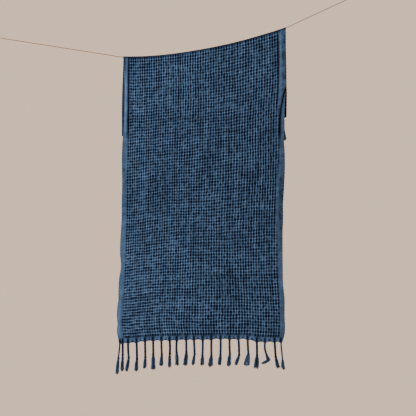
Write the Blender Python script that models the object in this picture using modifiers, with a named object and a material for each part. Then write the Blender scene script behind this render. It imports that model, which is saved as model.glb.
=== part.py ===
"""A waffle-weave tea towel folded over a taut string line, with knotted tassels on both hems.

Metres, +Z up. The origin is the middle of the loop at the line's left end. X runs along the
line to the right, and the viewer stands on the -Y side, where the long front panel hangs.
"""

import math
import random

import bmesh
import bpy
import numpy as np
from mathutils import Matrix, Vector

# Gap between pieces that touch on the real towel
GAP = 0.00035

# String line and the loops that its ends are tied in
LINE_RADIUS = 0.001
LOOP_REACH = 0.009
LOOP_POINTS = 16
LOOP_PINCH = 1.5
KNOT_RADIUS = 0.0027
KNOT_HALF_LENGTH = 0.0036
LINE_STEPS_PER_ROW = 4

# Where the line runs, from the left loop's middle to the right loop's: along, height
LINE_ROUTE = (
    (0.000, 0.0000),
    (0.100, -0.0158),
    (0.200, -0.0315),
    (0.290, -0.0456),
    (0.335, -0.0526),
    (0.352, -0.0556),
    (0.3665, -0.0570),
    (0.390, -0.0572),
    (0.440, -0.0555),
    (0.500, -0.0497),
    (0.560, -0.0410),
    (0.620, -0.0298),
    (0.680, -0.0163),
    (0.740, 0.0005),
    (0.790, 0.0158),
    (0.8095, 0.0225),
    (0.830, 0.0321),
    (0.880, 0.0554),
    (0.960, 0.0924),
    (1.040, 0.1294),
)

# Cloth: where its left edge crosses the line, how wide the fold is and how thick the weave
FOLD_LEFT = 0.3665
FOLD_WIDTH = 0.443
WAFFLE_THICKNESS = 0.0026
SELVEDGE_THICKNESS = 0.0014
SELVEDGE_WIDTH = 0.013
SELVEDGE_STEP = 0.004
WAFFLE_COLUMNS = 17
FRONT_ROWS = 28
BACK_ROWS = 9
FOLD_STEPS = 8
FOLD_RADIUS = LINE_RADIUS + GAP + WAFFLE_THICKNESS / 2

# Hem heights below the line's left loop, at the left side, the middle and the right side
FRONT_HEM = (-0.8355, -0.8265, -0.8345)
BACK_HEM = (-0.2745, -0.2510, -0.2220)

# Front panel: share of the drop, then how far each side strays from the fold's end, and depth
FRONT_PANEL = (
    # share, left, right, depth
    (0.000, 0.0000, 0.0000, -0.00265),
    (0.060, -0.0003, 0.0007, -0.0026),
    (0.185, -0.0008, 0.0010, -0.0034),
    (0.215, -0.0010, -0.0026, -0.0037),
    (0.300, -0.0016, -0.0034, -0.0045),
    (0.390, -0.0036, -0.0030, -0.0032),
    (0.500, -0.0042, -0.0054, 0.0032),
    (0.590, -0.0062, -0.0074, 0.0056),
    (0.680, -0.0085, -0.0076, 0.0042),
    (0.780, -0.0108, -0.0070, -0.0010),
    (0.870, -0.0150, -0.0030, -0.0058),
    (0.955, -0.0180, -0.0018, -0.0092),
    (0.985, -0.0130, -0.0040, -0.0100),
    (1.000, -0.0110, -0.0075, -0.0103),
)

# Back panel, in the same columns
BACK_PANEL = (
    (0.00, 0.0000, 0.0000, 0.00265),
    (0.25, -0.0022, 0.0012, 0.0028),
    (0.50, -0.0042, 0.0022, 0.0036),
    (0.75, -0.0050, 0.0010, 0.0050),
    (1.00, -0.0046, 0.0000, 0.0066),
)

# Soft upright waves that both panels share, growing down the cloth: height, turns, start
WAVES = ((0.0022, 1.3, 0.4), (0.0012, 2.9, 1.9))
WAVE_FULL_DROP = 0.80

# The right side band is turned back a little over this stretch below the fold
TURN_BACK = 0.0045
TURN_BACK_DROP = (0.015, 0.050, 0.150, 0.205)

# Hem strip that the tassels grow from, parted from the cloth's edge
STRIP_HEIGHT = 0.005
STRIP_THICKNESS = 0.0024
SCALLOP = 0.0012

# Tassels
CORD_RADIUS = 0.0022
CORD_STEPS = 6
CORD_TWIST = math.radians(68)
TASSEL_KNOT_RADIUS = 0.0041
TASSEL_KNOT_HALF = 0.0035
LOCKS = 3
LOCK_RADIUS = 0.0021
LOCK_TIP_RADIUS = 0.0011
LOCK_DEPTH = 0.0011
ROOT_DEPTH = 0.0024

# Front tassels in millimetres: root from the cloth's left end, knot and tip below the hem, how
# far each is sideways of the root, the tuft's spread, and how far the tuft's middle is bent
FRONT_TASSELS = (
    # root, knot_drop, knot_shift, tip_drop, tip_shift, spread, bend
    (-8.8, 38, -4.2, 81, -7.6, 4.0, 0.0),
    (-1.4, 39, 0.0, 73, -1.4, 3.8, 0.0),
    (13.5, 36, 1.6, 74, -3.5, 4.6, 0.8),
    (36.5, 41, 1.4, 75, -0.8, 4.4, 0.0),
    (59.5, 38, 0.8, 69, -1.1, 4.2, 0.5),
    (81.5, 34, 0.5, 75, 0.3, 6.4, 0.0),
    (104.0, 34, 1.1, 67, -0.3, 4.6, 0.0),
    (126.5, 32, 1.1, 71, 0.0, 3.8, -0.6),
    (146.0, 32, -0.8, 69, 0.5, 4.8, 1.0),
    (171.5, 32, 0.5, 70, -3.0, 6.2, 1.0),
    (192.5, 38, 1.9, 66, -1.9, 3.8, 0.0),
    (216.5, 36, -0.8, 70, -2.2, 6.2, 0.0),
    (240.0, 40, 0.0, 72, -2.7, 6.6, 0.0),
    (265.0, 42, -0.3, 69, -3.3, 4.4, 0.0),
    (289.5, 38, 0.8, 73, -1.6, 5.0, -1.2),
    (313.5, 39, 1.9, 67, -6.0, 4.6, 0.0),
    (338.5, 38, 2.2, 70, -2.5, 9.0, 0.0),
    (363.5, 37, 2.2, 69, -0.8, 9.4, 0.0),
    (386.0, 39, 5.5, 58, -7.4, 3.4, 11.0),
    (412.0, 38, 3.0, 69, 10.1, 5.2, -1.5),
    (429.0, 46, 5.0, 75, 7.0, 5.4, -0.8),
)

# Back tassels hang much the same, evenly spaced and out of sight but for the last one's tip
BACK_TASSEL_COUNT = 21
BACK_FIRST_ROOT = 6.0
BACK_LAST_ROOT = 436.0
BACK_SEED = 11
BACK_LAST_TASSEL = (436.0, 33, 1.5, 60, 4.0, 4.4, 0.0)

# Finishes: colour, roughness
WAFFLE_COTTON = ((0.030, 0.058, 0.107), 0.9)
FRINGE_COTTON = ((0.012, 0.033, 0.078), 0.92)
STRING = ((0.50, 0.37, 0.28), 0.85)


def clear_scene():
    for item in list(bpy.data.objects):
        bpy.data.objects.remove(item, do_unlink=True)


def new_collection(name, hidden=False):
    collection = bpy.data.collections.new(name)
    bpy.context.scene.collection.children.link(collection)
    collection.hide_render = hidden
    return collection


def make_material(name, finish):
    colour, roughness = finish
    material = bpy.data.materials.new(name)
    material.use_nodes = True
    shader = material.node_tree.nodes["Principled BSDF"]
    shader.inputs["Base Color"].default_value = (*colour, 1.0)
    shader.inputs["Roughness"].default_value = roughness
    shader.inputs["Metallic"].default_value = 0.0
    material.diffuse_color = (*colour, 1.0)
    return material


def read_table(rows, column, at):
    """A column's value at a place along the first column, on a smooth curve through the rows."""
    table = np.array(rows, dtype=float)
    places = table[:, 0]
    values = table[:, column]
    slopes = np.gradient(values, places)
    row = int(np.clip(np.searchsorted(places, at) - 1, 0, len(places) - 2))
    span = places[row + 1] - places[row]
    part = (at - places[row]) / span
    square = part * part
    cube = square * part
    start = (2 * cube - 3 * square + 1) * values[row]
    start_slope = (cube - 2 * square + part) * span * slopes[row]
    end = (3 * square - 2 * cube) * values[row + 1]
    end_slope = (cube - square) * span * slopes[row + 1]
    return float(start + start_slope + end + end_slope)


def ease(value, low, high):
    part = min(max((value - low) / (high - low), 0.0), 1.0)
    return part * part * (3 - 2 * part)


def line_height(along):
    return read_table(LINE_ROUTE, 1, along)


def line_slope(along):
    step = 0.002
    return math.atan2(line_height(along + step) - line_height(along - step), 2 * step)


def hem_height(hem, share_across):
    """Height of a hem, on a parabola through its left end, middle and right end."""
    left, middle, right = hem
    bow = 2 * left + 2 * right - 4 * middle
    return left + (right - left - bow) * share_across + bow * share_across**2


def wave_depth(along, drop):
    """Depth of the soft waves, and of the turned-back right side band, at a place on the cloth."""
    across = (along - FOLD_LEFT) / FOLD_WIDTH
    growth = ease(drop, 0.0, WAVE_FULL_DROP)
    depth = 0.0
    for height, turns, start in WAVES:
        depth += growth * height * math.sin(2 * math.pi * turns * across + start)
    from_ridge = along - (FOLD_LEFT + FOLD_WIDTH - SELVEDGE_WIDTH)
    starts, full, ends, gone = TURN_BACK_DROP
    turned = ease(drop, starts, full) * (1 - ease(drop, ends, gone))
    return depth + turned * TURN_BACK * ease(from_ridge, 0.0, SELVEDGE_WIDTH)


def panel_point(panel, hem, share_across, share_down):
    """A point of the cloth's middle surface, on the front or the back panel."""
    left = FOLD_LEFT + read_table(panel, 1, share_down)
    right = FOLD_LEFT + FOLD_WIDTH + read_table(panel, 2, share_down)
    along = left + share_across * (right - left)
    fold_height = line_height(FOLD_LEFT + share_across * FOLD_WIDTH)
    drop = share_down * (fold_height - hem_height(hem, share_across))
    depth = read_table(panel, 3, share_down) + wave_depth(along, drop)
    return Vector((along, depth, fold_height - drop))


def fold_point(share_across, angle):
    """A point of the cloth's middle surface where it bends over the line."""
    along = FOLD_LEFT + share_across * FOLD_WIDTH
    rise = FOLD_RADIUS * math.sin(angle) / math.cos(line_slope(along))
    return Vector((along, -FOLD_RADIUS * math.cos(angle), line_height(along) + rise))


def strip_share(hem, share_across, height):
    """How far down its panel a place at this height above the hem is."""
    fold_height = line_height(FOLD_LEFT + share_across * FOLD_WIDTH)
    return 1 - height / (fold_height - hem_height(hem, share_across))


def cloth_columns():
    """Shares across the cloth: a side band, a step up to the waffle field, and its columns."""
    band = SELVEDGE_WIDTH / FOLD_WIDTH
    step = (SELVEDGE_WIDTH + SELVEDGE_STEP) / FOLD_WIDTH
    field = np.linspace(step, 1 - step, WAFFLE_COLUMNS + 1)
    return [0.0, band, *field, 1 - band, 1.0]


def cloth_rows(share_across):
    """Points down one column, from the front hem strip over the line to the back hem strip."""
    front_end = strip_share(FRONT_HEM, share_across, STRIP_HEIGHT + GAP)
    back_end = strip_share(BACK_HEM, share_across, STRIP_HEIGHT + GAP)
    points = []
    for share in np.linspace(front_end, 0.0, FRONT_ROWS, endpoint=False):
        points.append(panel_point(FRONT_PANEL, FRONT_HEM, share_across, share))
    for step in range(FOLD_STEPS + 1):
        points.append(fold_point(share_across, math.pi * step / FOLD_STEPS))
    for row in range(1, BACK_ROWS + 1):
        share = back_end * row / BACK_ROWS
        points.append(panel_point(BACK_PANEL, BACK_HEM, share_across, share))
    return points


def surface_object(name, columns, material, collection):
    """An open surface whose faces look out from the front, from its columns of points."""
    mesh_data = bpy.data.meshes.new(name)
    surface = bpy.data.objects.new(name, mesh_data)
    collection.objects.link(surface)
    mesh_data.materials.append(material)
    work = bmesh.new()
    lines = [[work.verts.new(point) for point in column] for column in columns]
    for one, other in zip(lines, lines[1:]):
        for row in range(len(one) - 1):
            work.faces.new((one[row], other[row], other[row + 1], one[row + 1]))
    work.to_mesh(mesh_data)
    work.free()
    mesh_data.shade_smooth()
    return surface


def thicken(surface, thickness, group=None, thin_factor=1.0):
    solidify = surface.modifiers.new("Thickness", "SOLIDIFY")
    solidify.thickness = thickness
    solidify.offset = 0.0
    if group is not None:
        solidify.vertex_group = group.name
        solidify.thickness_vertex_group = thin_factor


def make_towel(material, collection):
    shares = cloth_columns()
    columns = [cloth_rows(share) for share in shares]
    towel = surface_object("towel", columns, material, collection)
    waffle = towel.vertex_groups.new(name="waffle field")
    rows = len(columns[0])
    waffle.add(range(2 * rows, (len(columns) - 2) * rows), 1.0, "REPLACE")
    thicken(towel, WAFFLE_THICKNESS, waffle, SELVEDGE_THICKNESS / WAFFLE_THICKNESS)
    return towel


def root_share(panel, root):
    """Share across the hem of a tassel's root, which is given in millimetres."""
    left = read_table(panel, 1, 1.0)
    right = FOLD_WIDTH + read_table(panel, 2, 1.0)
    return (root / 1000 - left) / (right - left)


def strip_columns(panel, hem, roots):
    """Columns of the hem strip: drawn down at each tassel's root and up between the roots."""
    shares = [root_share(panel, root) for root in roots]
    between = [(one + other) / 2 for one, other in zip(shares, shares[1:])]
    stations = [(0.0, 0.0), (1.0, 0.0)]
    stations += [(share, -SCALLOP / 2) for share in shares]
    stations += [(share, SCALLOP) for share in between]
    columns = []
    for share, lift in sorted(stations):
        low = panel_point(panel, hem, share, strip_share(hem, share, lift))
        top = panel_point(panel, hem, share, strip_share(hem, share, STRIP_HEIGHT))
        columns.append((low, top))
    return columns


def add_strand(curve, points, radii, twist=0.0):
    """One four-sided strand through the points, with a radius at each and a steady twist."""
    strand = curve.splines.new("POLY")
    strand.points.add(len(points) - 1)
    for index, (point, radius) in enumerate(zip(points, radii)):
        strand.points[index].co = (*point, 1.0)
        strand.points[index].radius = radius
        strand.points[index].tilt = index * twist


def add_tassel(curve, root, row):
    """A twisted cord down to a knot, and the locks of the tuft below it."""
    knot_drop, knot_shift, tip_drop, tip_shift, spread, bend = (mm / 1000 for mm in row[1:])
    knot = root + Vector((knot_shift, 0.0, -knot_drop))
    tip = root + Vector((tip_shift, 0.0, -tip_drop))
    start = root + Vector((0.0, 0.0, ROOT_DEPTH))
    cord_end = knot + Vector((0.0, 0.0, TASSEL_KNOT_HALF))
    points = [start.lerp(cord_end, step / CORD_STEPS) for step in range(CORD_STEPS + 1)]
    points += [knot, knot - Vector((0.0, 0.0, TASSEL_KNOT_HALF))]
    radii = [CORD_RADIUS] * (CORD_STEPS + 1) + [TASSEL_KNOT_RADIUS, CORD_RADIUS]
    add_strand(curve, points, radii, CORD_TWIST)
    for lock in range(LOCKS):
        side = lock - (LOCKS - 1) / 2
        fan = Vector((side * spread / 2, (lock % 2) * LOCK_DEPTH - LOCK_DEPTH / 2, 0.0))
        top = knot + fan * 0.3
        end = tip + fan + Vector((0.0, 0.0, abs(side) * 0.002))
        middle = top.lerp(end, 0.55) + fan * 0.3 + Vector((bend, 0.0, 0.0))
        radii = (LOCK_RADIUS * 0.8, LOCK_RADIUS, LOCK_TIP_RADIUS)
        add_strand(curve, (top, middle, end), radii, math.radians(20 + 15 * lock))


def mesh_from_curve(curve_object, collection):
    """The curve's solid as a mesh with its caps welded on, in place of the curve."""
    graph = bpy.context.evaluated_depsgraph_get()
    mesh_data = bpy.data.meshes.new_from_object(curve_object.evaluated_get(graph))
    work = bmesh.new()
    work.from_mesh(mesh_data)
    bmesh.ops.remove_doubles(work, verts=work.verts, dist=0.000001)
    bmesh.ops.recalc_face_normals(work, faces=work.faces)
    work.to_mesh(mesh_data)
    work.free()
    solid = bpy.data.objects.new(curve_object.name + "_solid", mesh_data)
    solid.matrix_world = curve_object.matrix_world
    collection.objects.link(solid)
    bpy.data.objects.remove(curve_object, do_unlink=True)
    return solid


def new_curve(name, radius, resolution, collection):
    curve = bpy.data.curves.new(name, "CURVE")
    curve.dimensions = "3D"
    curve.bevel_depth = radius
    curve.bevel_resolution = resolution
    curve.use_fill_caps = True
    curve_object = bpy.data.objects.new(name, curve)
    collection.objects.link(curve_object)
    return curve_object


def as_helper(helper):
    helper.hide_render = True
    helper.display_type = "WIRE"


def join_to(solid, helper, self_union):
    union = solid.modifiers.new("Join " + helper.name, "BOOLEAN")
    union.operation = "UNION"
    union.solver = "EXACT"
    union.use_self = self_union
    union.object = helper
    as_helper(helper)


def make_fringe(name, panel, hem, rows, material, collection, helpers):
    """The hem strip with its row of tassels."""
    columns = strip_columns(panel, hem, [row[0] for row in rows])
    strip = surface_object(name, columns, material, collection)
    thicken(strip, STRIP_THICKNESS)
    strands = new_curve(name + "_strands", 1.0, 0, helpers)
    for row in rows:
        share = root_share(panel, row[0])
        add_tassel(strands.data, panel_point(panel, hem, share, 1.0), row)
    join_to(strip, mesh_from_curve(strands, helpers), self_union=True)
    return strip


def back_tassels():
    chance = random.Random(BACK_SEED)
    spacing = (BACK_LAST_ROOT - BACK_FIRST_ROOT) / (BACK_TASSEL_COUNT - 1)
    rows = []
    for number in range(BACK_TASSEL_COUNT - 1):
        root = BACK_FIRST_ROOT + number * spacing + chance.uniform(-1.5, 1.5)
        knot_drop = chance.uniform(33, 41)
        knot_shift = chance.uniform(-1.5, 1.5)
        tip_drop = chance.uniform(66, 76)
        tip_shift = chance.uniform(-2.5, 2.5)
        spread = chance.uniform(3.8, 6.5)
        rows.append((root, knot_drop, knot_shift, tip_drop, tip_shift, spread, 0.0))
    return rows + [BACK_LAST_TASSEL]


def make_line(material, collection):
    """The string, from just past one loop's knot to just short of the other's."""
    reach = LOOP_REACH + KNOT_HALF_LENGTH + GAP
    first, last = LINE_ROUTE[0][0], LINE_ROUTE[-1][0]
    places = [first + reach * math.cos(line_slope(first + reach))]
    for one, other in zip(LINE_ROUTE, LINE_ROUTE[1:]):
        for step in range(LINE_STEPS_PER_ROW):
            places.append(one[0] + (other[0] - one[0]) * step / LINE_STEPS_PER_ROW)
    end = last - reach * math.cos(line_slope(last - reach))
    clear = LINE_RADIUS * 4
    between = [place for place in places[1:] if places[0] + clear < place < end - clear]
    places = [places[0], *between, end]
    line = new_curve("line", LINE_RADIUS, 2, collection)
    line.data.materials.append(material)
    points = [(place, 0.0, line_height(place)) for place in places]
    add_strand(line.data, points, [1.0] * len(points))
    return line


def make_loop(name, middle, towards, material, collection, helpers):
    """A string end tied in a drop-shaped loop, with its knot on the side of the line."""
    turn = Matrix.Rotation(-towards, 4, "Y")
    ring = new_curve(name + "_ring", LINE_RADIUS, 2, helpers)
    spline = ring.data.splines.new("POLY")
    spline.use_cyclic_u = True
    spline.points.add(LOOP_POINTS - 1)
    for index in range(LOOP_POINTS):
        angle = 2 * math.pi * index / LOOP_POINTS
        width = LOOP_REACH * math.sin(angle) * math.sin(angle / 2) ** LOOP_PINCH
        point = middle + turn @ Vector((LOOP_REACH * math.cos(angle), 0.0, width))
        spline.points[index].co = (*point, 1.0)
    ring_solid = mesh_from_curve(ring, helpers)
    mesh_data = bpy.data.meshes.new(name)
    work = bmesh.new()
    bmesh.ops.create_uvsphere(work, u_segments=8, v_segments=6, radius=KNOT_RADIUS)
    stretch = Matrix.Scale(KNOT_HALF_LENGTH / KNOT_RADIUS, 4, (0.0, 0.0, 1.0))
    lay_down = Matrix.Rotation(math.pi / 2, 4, "Y")
    place = Matrix.Translation(middle + turn @ Vector((LOOP_REACH, 0.0, 0.0)))
    bmesh.ops.transform(work, matrix=place @ turn @ lay_down @ stretch, verts=work.verts)
    work.to_mesh(mesh_data)
    work.free()
    mesh_data.materials.append(material)
    loop = bpy.data.objects.new(name, mesh_data)
    collection.objects.link(loop)
    join_to(loop, ring_solid, self_union=False)
    return loop


def main():
    clear_scene()
    collection = new_collection("waffle tea towel on a string line")
    helpers = new_collection("helpers", hidden=True)
    waffle = make_material("waffle cotton", WAFFLE_COTTON)
    front_yarn = make_material("front fringe cotton", FRINGE_COTTON)
    back_yarn = make_material("back fringe cotton", FRINGE_COTTON)
    line_string = make_material("line string", STRING)
    left_string = make_material("left loop string", STRING)
    right_string = make_material("right loop string", STRING)
    make_towel(waffle, collection)
    make_fringe(
        "front_fringe", FRONT_PANEL, FRONT_HEM, FRONT_TASSELS, front_yarn, collection, helpers
    )
    make_fringe(
        "back_fringe", BACK_PANEL, BACK_HEM, back_tassels(), back_yarn, collection, helpers
    )
    make_line(line_string, collection)
    left_end = Vector((LINE_ROUTE[0][0], 0.0, LINE_ROUTE[0][1]))
    right_end = Vector((LINE_ROUTE[-1][0], 0.0, LINE_ROUTE[-1][1]))
    left_turn = line_slope(LINE_ROUTE[0][0] + LOOP_REACH)
    right_turn = line_slope(LINE_ROUTE[-1][0] - LOOP_REACH) + math.pi
    make_loop("left_loop", left_end, left_turn, left_string, collection, helpers)
    make_loop("right_loop", right_end, right_turn, right_string, collection, helpers)


main()
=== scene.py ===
"""The finish of a blue waffle-weave tea towel with knotted tassels, hung over a string line.

Metres, +Z up, X along the line to the right, and the viewer stands on the -Y side. The cloth's
weave is laid out in columns and rows of waffle cells, counted from the left side band and from
the front hem, up over the line and down to the back hem.
"""

import math
import random

import bpy
import numpy as np
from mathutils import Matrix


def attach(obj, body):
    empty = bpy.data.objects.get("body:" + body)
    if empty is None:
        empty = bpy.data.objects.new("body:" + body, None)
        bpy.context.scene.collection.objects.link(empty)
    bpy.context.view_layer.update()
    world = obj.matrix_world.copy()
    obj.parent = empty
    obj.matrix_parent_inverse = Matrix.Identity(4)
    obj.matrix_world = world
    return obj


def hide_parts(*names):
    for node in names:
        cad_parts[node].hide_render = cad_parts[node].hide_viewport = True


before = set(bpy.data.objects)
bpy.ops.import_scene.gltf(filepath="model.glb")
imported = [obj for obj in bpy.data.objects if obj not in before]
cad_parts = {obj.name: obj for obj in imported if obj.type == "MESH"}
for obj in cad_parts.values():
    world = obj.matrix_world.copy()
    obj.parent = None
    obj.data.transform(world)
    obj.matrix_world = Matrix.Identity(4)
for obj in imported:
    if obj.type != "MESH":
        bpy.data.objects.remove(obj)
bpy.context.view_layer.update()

# Camera: the view's width at the cloth, its middle, and how far the camera stands back
VIEW_WIDTH = 1.1345
VIEW_MIDDLE = (0.5973, -0.4684)
CAMERA_DISTANCE = 3.2
SENSOR_WIDTH = 36.0

# String line and the loops that its ends are tied in
LINE_RADIUS = 0.001
LOOP_REACH = 0.009
LOOP_PINCH = 1.5
LOOP_OPENING = 0.06
KNOT_HALF_LENGTH = 0.0036
KNOT_COVER = 0.4
GAP = 0.00035

# The string's three plies, and how its tail is wound round it as a knot
STRING_PLIES = 3
STRING_PLY = 0.00056
STRING_TURN = 0.0052
STRING_STEP = 0.0006
STRING_TONE = 0.5
TIE_TURNS = 3.2
TIE_RADIUS = 0.00175
TIE_TUCK = 0.0009
TIE_STRETCH = 1.45
TIE_STRING = 0.00095
TIE_TONE = 0.42

# Where the line runs, from the left loop's middle to the right loop's: along, height
LINE_ROUTE = (
    (0.000, 0.0000), (0.100, -0.0158), (0.200, -0.0315), (0.290, -0.0456), (0.335, -0.0526),
    (0.352, -0.0556), (0.3665, -0.0570), (0.390, -0.0572), (0.440, -0.0555), (0.500, -0.0497),
    (0.560, -0.0410), (0.620, -0.0298), (0.680, -0.0163), (0.740, 0.0005), (0.790, 0.0158),
    (0.8095, 0.0225), (0.830, 0.0321), (0.880, 0.0554), (0.960, 0.0924), (1.040, 0.1294),
)

# The two ends: side, place, which way the line runs from it, and half a turn where it runs left
LOOP_ENDS = (("left", LINE_ROUTE[0], 1, 0.0), ("right", LINE_ROUTE[-1], -1, math.pi))

# Cloth: where its left edge crosses the line, and its shape over it
FOLD_LEFT = 0.3665
FOLD_WIDTH = 0.443
WAFFLE_THICKNESS = 0.0026
SELVEDGE_WIDTH = 0.013
FOLD_RADIUS = LINE_RADIUS + GAP + WAFFLE_THICKNESS / 2

# Hem heights below the line's left loop, at the left side, the middle and the right side
FRONT_HEM = (-0.8355, -0.8265, -0.8345)
BACK_HEM = (-0.2745, -0.2510, -0.2220)

# Front panel: share of the drop, then how far each side strays from the fold's end, and depth
FRONT_PANEL = (
    # share, left, right, depth
    (0.000, 0.0000, 0.0000, -0.00265),
    (0.060, -0.0003, 0.0007, -0.0026),
    (0.185, -0.0008, 0.0008, -0.0034),
    (0.240, -0.0012, -0.0014, -0.0040),
    (0.300, -0.0016, -0.0030, -0.0045),
    (0.390, -0.0036, -0.0030, -0.0032),
    (0.500, -0.0042, -0.0054, 0.0032),
    (0.590, -0.0062, -0.0074, 0.0056),
    (0.680, -0.0085, -0.0076, 0.0042),
    (0.780, -0.0108, -0.0070, -0.0010),
    (0.870, -0.0150, -0.0030, -0.0058),
    (0.955, -0.0180, -0.0018, -0.0092),
    (0.985, -0.0130, -0.0040, -0.0100),
    (1.000, -0.0110, -0.0075, -0.0103),
)

# Back panel, in the same columns
BACK_PANEL = (
    (0.00, 0.0000, 0.0000, 0.00265),
    (0.25, -0.0022, 0.0012, 0.0028),
    (0.50, -0.0042, 0.0022, 0.0036),
    (0.75, -0.0050, 0.0010, 0.0050),
    (1.00, -0.0046, 0.0000, 0.0066),
)

# Soft upright waves that both panels share, growing down the cloth: height, turns, start
WAVES = ((0.0022, 1.3, 0.4), (0.0012, 2.9, 1.9))
WAVE_FULL_DROP = 0.80

# The right side band is turned back a little over this stretch below the fold
TURN_BACK = 0.0060
TURN_BACK_DROP = (0.015, 0.050, 0.150, 0.205)

# Weave: waffle cells across, and up each panel, with plain hems two cells high
COLUMNS = 61
FRONT_ROWS = 95
BACK_ROWS = 27
HEM_ROWS = 2
ALL_ROWS = FRONT_ROWS + 1 + BACK_ROWS
HEM_HEIGHT = 0.0125
BAND_COLUMNS = 2

# Stretches of the cloth: name, first row, last row
CLOTH_STRETCHES = (
    ("towel_low", -2.0, 42.36),
    ("towel_middle", 42.36, 84.36),
    ("towel_over_line", 84.36, 125.0),
)

# Width of the cells in millimetres from the left band to the right: share, at fold, at hem
COLUMN_WIDTHS = (
    (0.00, 5.8, 6.6),
    (0.08, 6.0, 6.7),
    (0.21, 6.35, 7.1),
    (0.34, 6.55, 6.8),
    (0.47, 6.8, 7.5),
    (0.60, 7.0, 7.55),
    (0.74, 7.3, 7.8),
    (0.87, 7.1, 7.4),
    (1.00, 6.8, 7.2),
)

# The rows sag by this much near the left side, most at mid height
ROW_DROOP = 0.0095
ROW_DROOP_REACH = 0.30

# A cell's raised rim and its floor, as shares of the cell on each side of its line
RIM = 0.11
FLOOR = 0.25

# Lines of the mesh across a side band, up a hem and over the string, in cells
BAND_LINES = (-2.0, -1.95, -1.75, -1.3, -0.85, -0.45, -0.2, -0.08)
HEM_LINES = (-2.0, -1.96, -1.8, -1.55, -1.3, -1.05, -0.8, -0.5, -0.2)
FOLD_LINES = (-RIM, RIM, FLOOR, 0.37, 0.5, 0.63, 1 - FLOOR, 1 - RIM, 1 + RIM)

# Heights above the cloth's middle surface: where rims cross, on a rim between crossings, in
# the hollow, and of the plain bands and hems
CROSSING = 0.0013
COLUMN_RIM = 0.00115
ROW_RIM = 0.00085
HOLLOW = -0.0005
PLAIN = 0.0007

# How much painted shade each of those places gets, from 0 at a crossing to 1 in a hollow, and
# the least and the most that a leaning cell's rims can get. The reverse is painted with more
# shade.
COLUMN_RIM_SHADE = 0.39
COLUMN_SHADE_LIMITS = (0.04, 0.9)
ROW_RIM_SHADE = 0.56
ROW_SHADE_LIMITS = (0.08, 0.9)
REVERSE_SHADE = 0.20

# Unevenness of the weave, in shares of a cell and in metres, and the cells along the bands, hems
# and fold where it dies away
CELL_SHIFT = 0.05
MOST_SHIFT = 0.45
EVEN_CELLS = 3.0
CELL_HEIGHT_CHANGE = 0.00012
MOST_HEIGHT_CHANGE = 0.0002
SLOW_SHIFTS = (
    # columns, rows, turns across, turns up, start
    (0.10, 0.00, 1.3, 2.1, 0.3),
    (0.05, 0.00, 3.7, 5.3, 1.1),
    (0.00, 0.12, 2.1, 2.3, 2.0),
    (0.00, 0.06, 5.9, 4.7, 0.7),
    (0.03, 0.04, 9.3, 11.9, 2.9),
)
SELVEDGE_SCALLOP = 0.0007

# Lighter and darker yarns: how strong, how long they run down and over, and the shares of the
# runs down, the runs over and the single cells
STREAK = 0.19
STREAK_RUNS = (24, 12)
STREAK_SHARES = (0.6, 0.45, 0.5)

# Painted light that falls off across the cloth: how light it is at its left side, and how much
# less at its right
PAINTED_LIGHT_LEFT = 1.0
PAINTED_LIGHT_LOSS = 0.17

# How much painted shade darkens the cloth where it bends over the line, how much flatter it is
# there, and how high its outer and its inner face then stand from its middle surface
FOLD_PAINTED_SHADE = 0.80
FOLD_FLAT = 0.70
FOLD_HEIGHTS = (-0.0006, 0.0011)

# Painted shade on the back panel's bands, on the face that the front panel covers, and how far
# its right one sticks out low down
COVERED_PAINTED_SHADE = (0.60, 0.95)
COVERED_STEP = (-1.0, 0.5)
BACK_STRAY = 0.0026
BACK_STRAY_DROP = (0.13, 0.18)

# Side bands of the front panel by drop: how far the outer edge leans back, how deep the groove
# beside the band is and how much painted shade it gets, the band's painted light (above 1) and
# shade (below 1), how far its edge curls in and how much painted shade that edge gets
LEFT_BAND = (
    # drop, lean, groove, groove shade, band light, curl, edge shade
    (0.000, 0.0000, 0.0004, 0.80, 1.00, 0.0000, 0.60),
    (0.020, 0.0014, 0.0008, 0.90, 1.10, 0.0010, 0.70),
    (0.045, 0.0026, 0.0012, 1.00, 1.35, 0.0030, 0.25),
    (0.130, 0.0034, 0.0016, 1.05, 1.45, 0.0034, 0.00),
    (0.200, 0.0028, 0.0014, 1.00, 1.30, 0.0030, 0.05),
    (0.225, 0.0012, 0.0003, 0.35, 1.10, 0.0006, 0.10),
    (0.350, 0.0006, 0.0000, 0.00, 0.90, 0.0000, 0.05),
    (0.520, 0.0006, 0.0000, 0.00, 1.08, 0.0000, 0.00),
    (0.900, 0.0006, 0.0000, 0.00, 1.22, 0.0000, 0.00),
)

# In columns: the left groove's place and width, how far out each band's edge starts and is full,
# and how softly a band begins
LEFT_GROOVE = (0.30, 0.58)
LEFT_EDGE = (0.7, 1.3)
RIGHT_EDGE = (1.3, 1.9)
BAND_STEP = 0.3

# The right band also has a smooth ridge beside its groove, and mottled painted shade where it
# turns back
RIGHT_BAND = (
    # drop, lean, groove, groove shade, band light, ridge, mottle, edge shade
    (0.000, 0.0000, 0.0004, 0.60, 0.80, 0.5, 0.3, 0.60),
    (0.020, 0.0000, 0.0012, 0.95, 0.88, 1.0, 0.5, 0.50),
    (0.150, 0.0000, 0.0014, 0.95, 0.88, 1.0, 0.6, 0.45),
    (0.185, 0.0002, 0.0010, 0.80, 0.86, 0.9, 0.3, 0.00),
    (0.210, 0.0004, 0.0002, 0.20, 0.92, 0.6, 0.1, 0.00),
    (0.290, 0.0006, 0.0000, 0.00, 0.94, 0.2, 0.0, 0.00),
    (0.375, 0.0004, 0.0002, 0.15, 0.84, 0.3, 0.2, 0.00),
    (0.400, 0.0010, 0.0008, 0.50, 0.60, 0.8, 0.5, 0.00),
    (0.440, 0.0016, 0.0010, 0.60, 0.64, 1.0, 0.6, 0.10),
    (0.520, 0.0018, 0.0008, 0.50, 0.66, 0.9, 0.5, 0.10),
    (0.570, 0.0004, 0.0000, 0.10, 0.84, 0.3, 0.2, 0.00),
    (0.900, 0.0004, 0.0000, 0.05, 0.90, 0.1, 0.1, 0.00),
)
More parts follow.
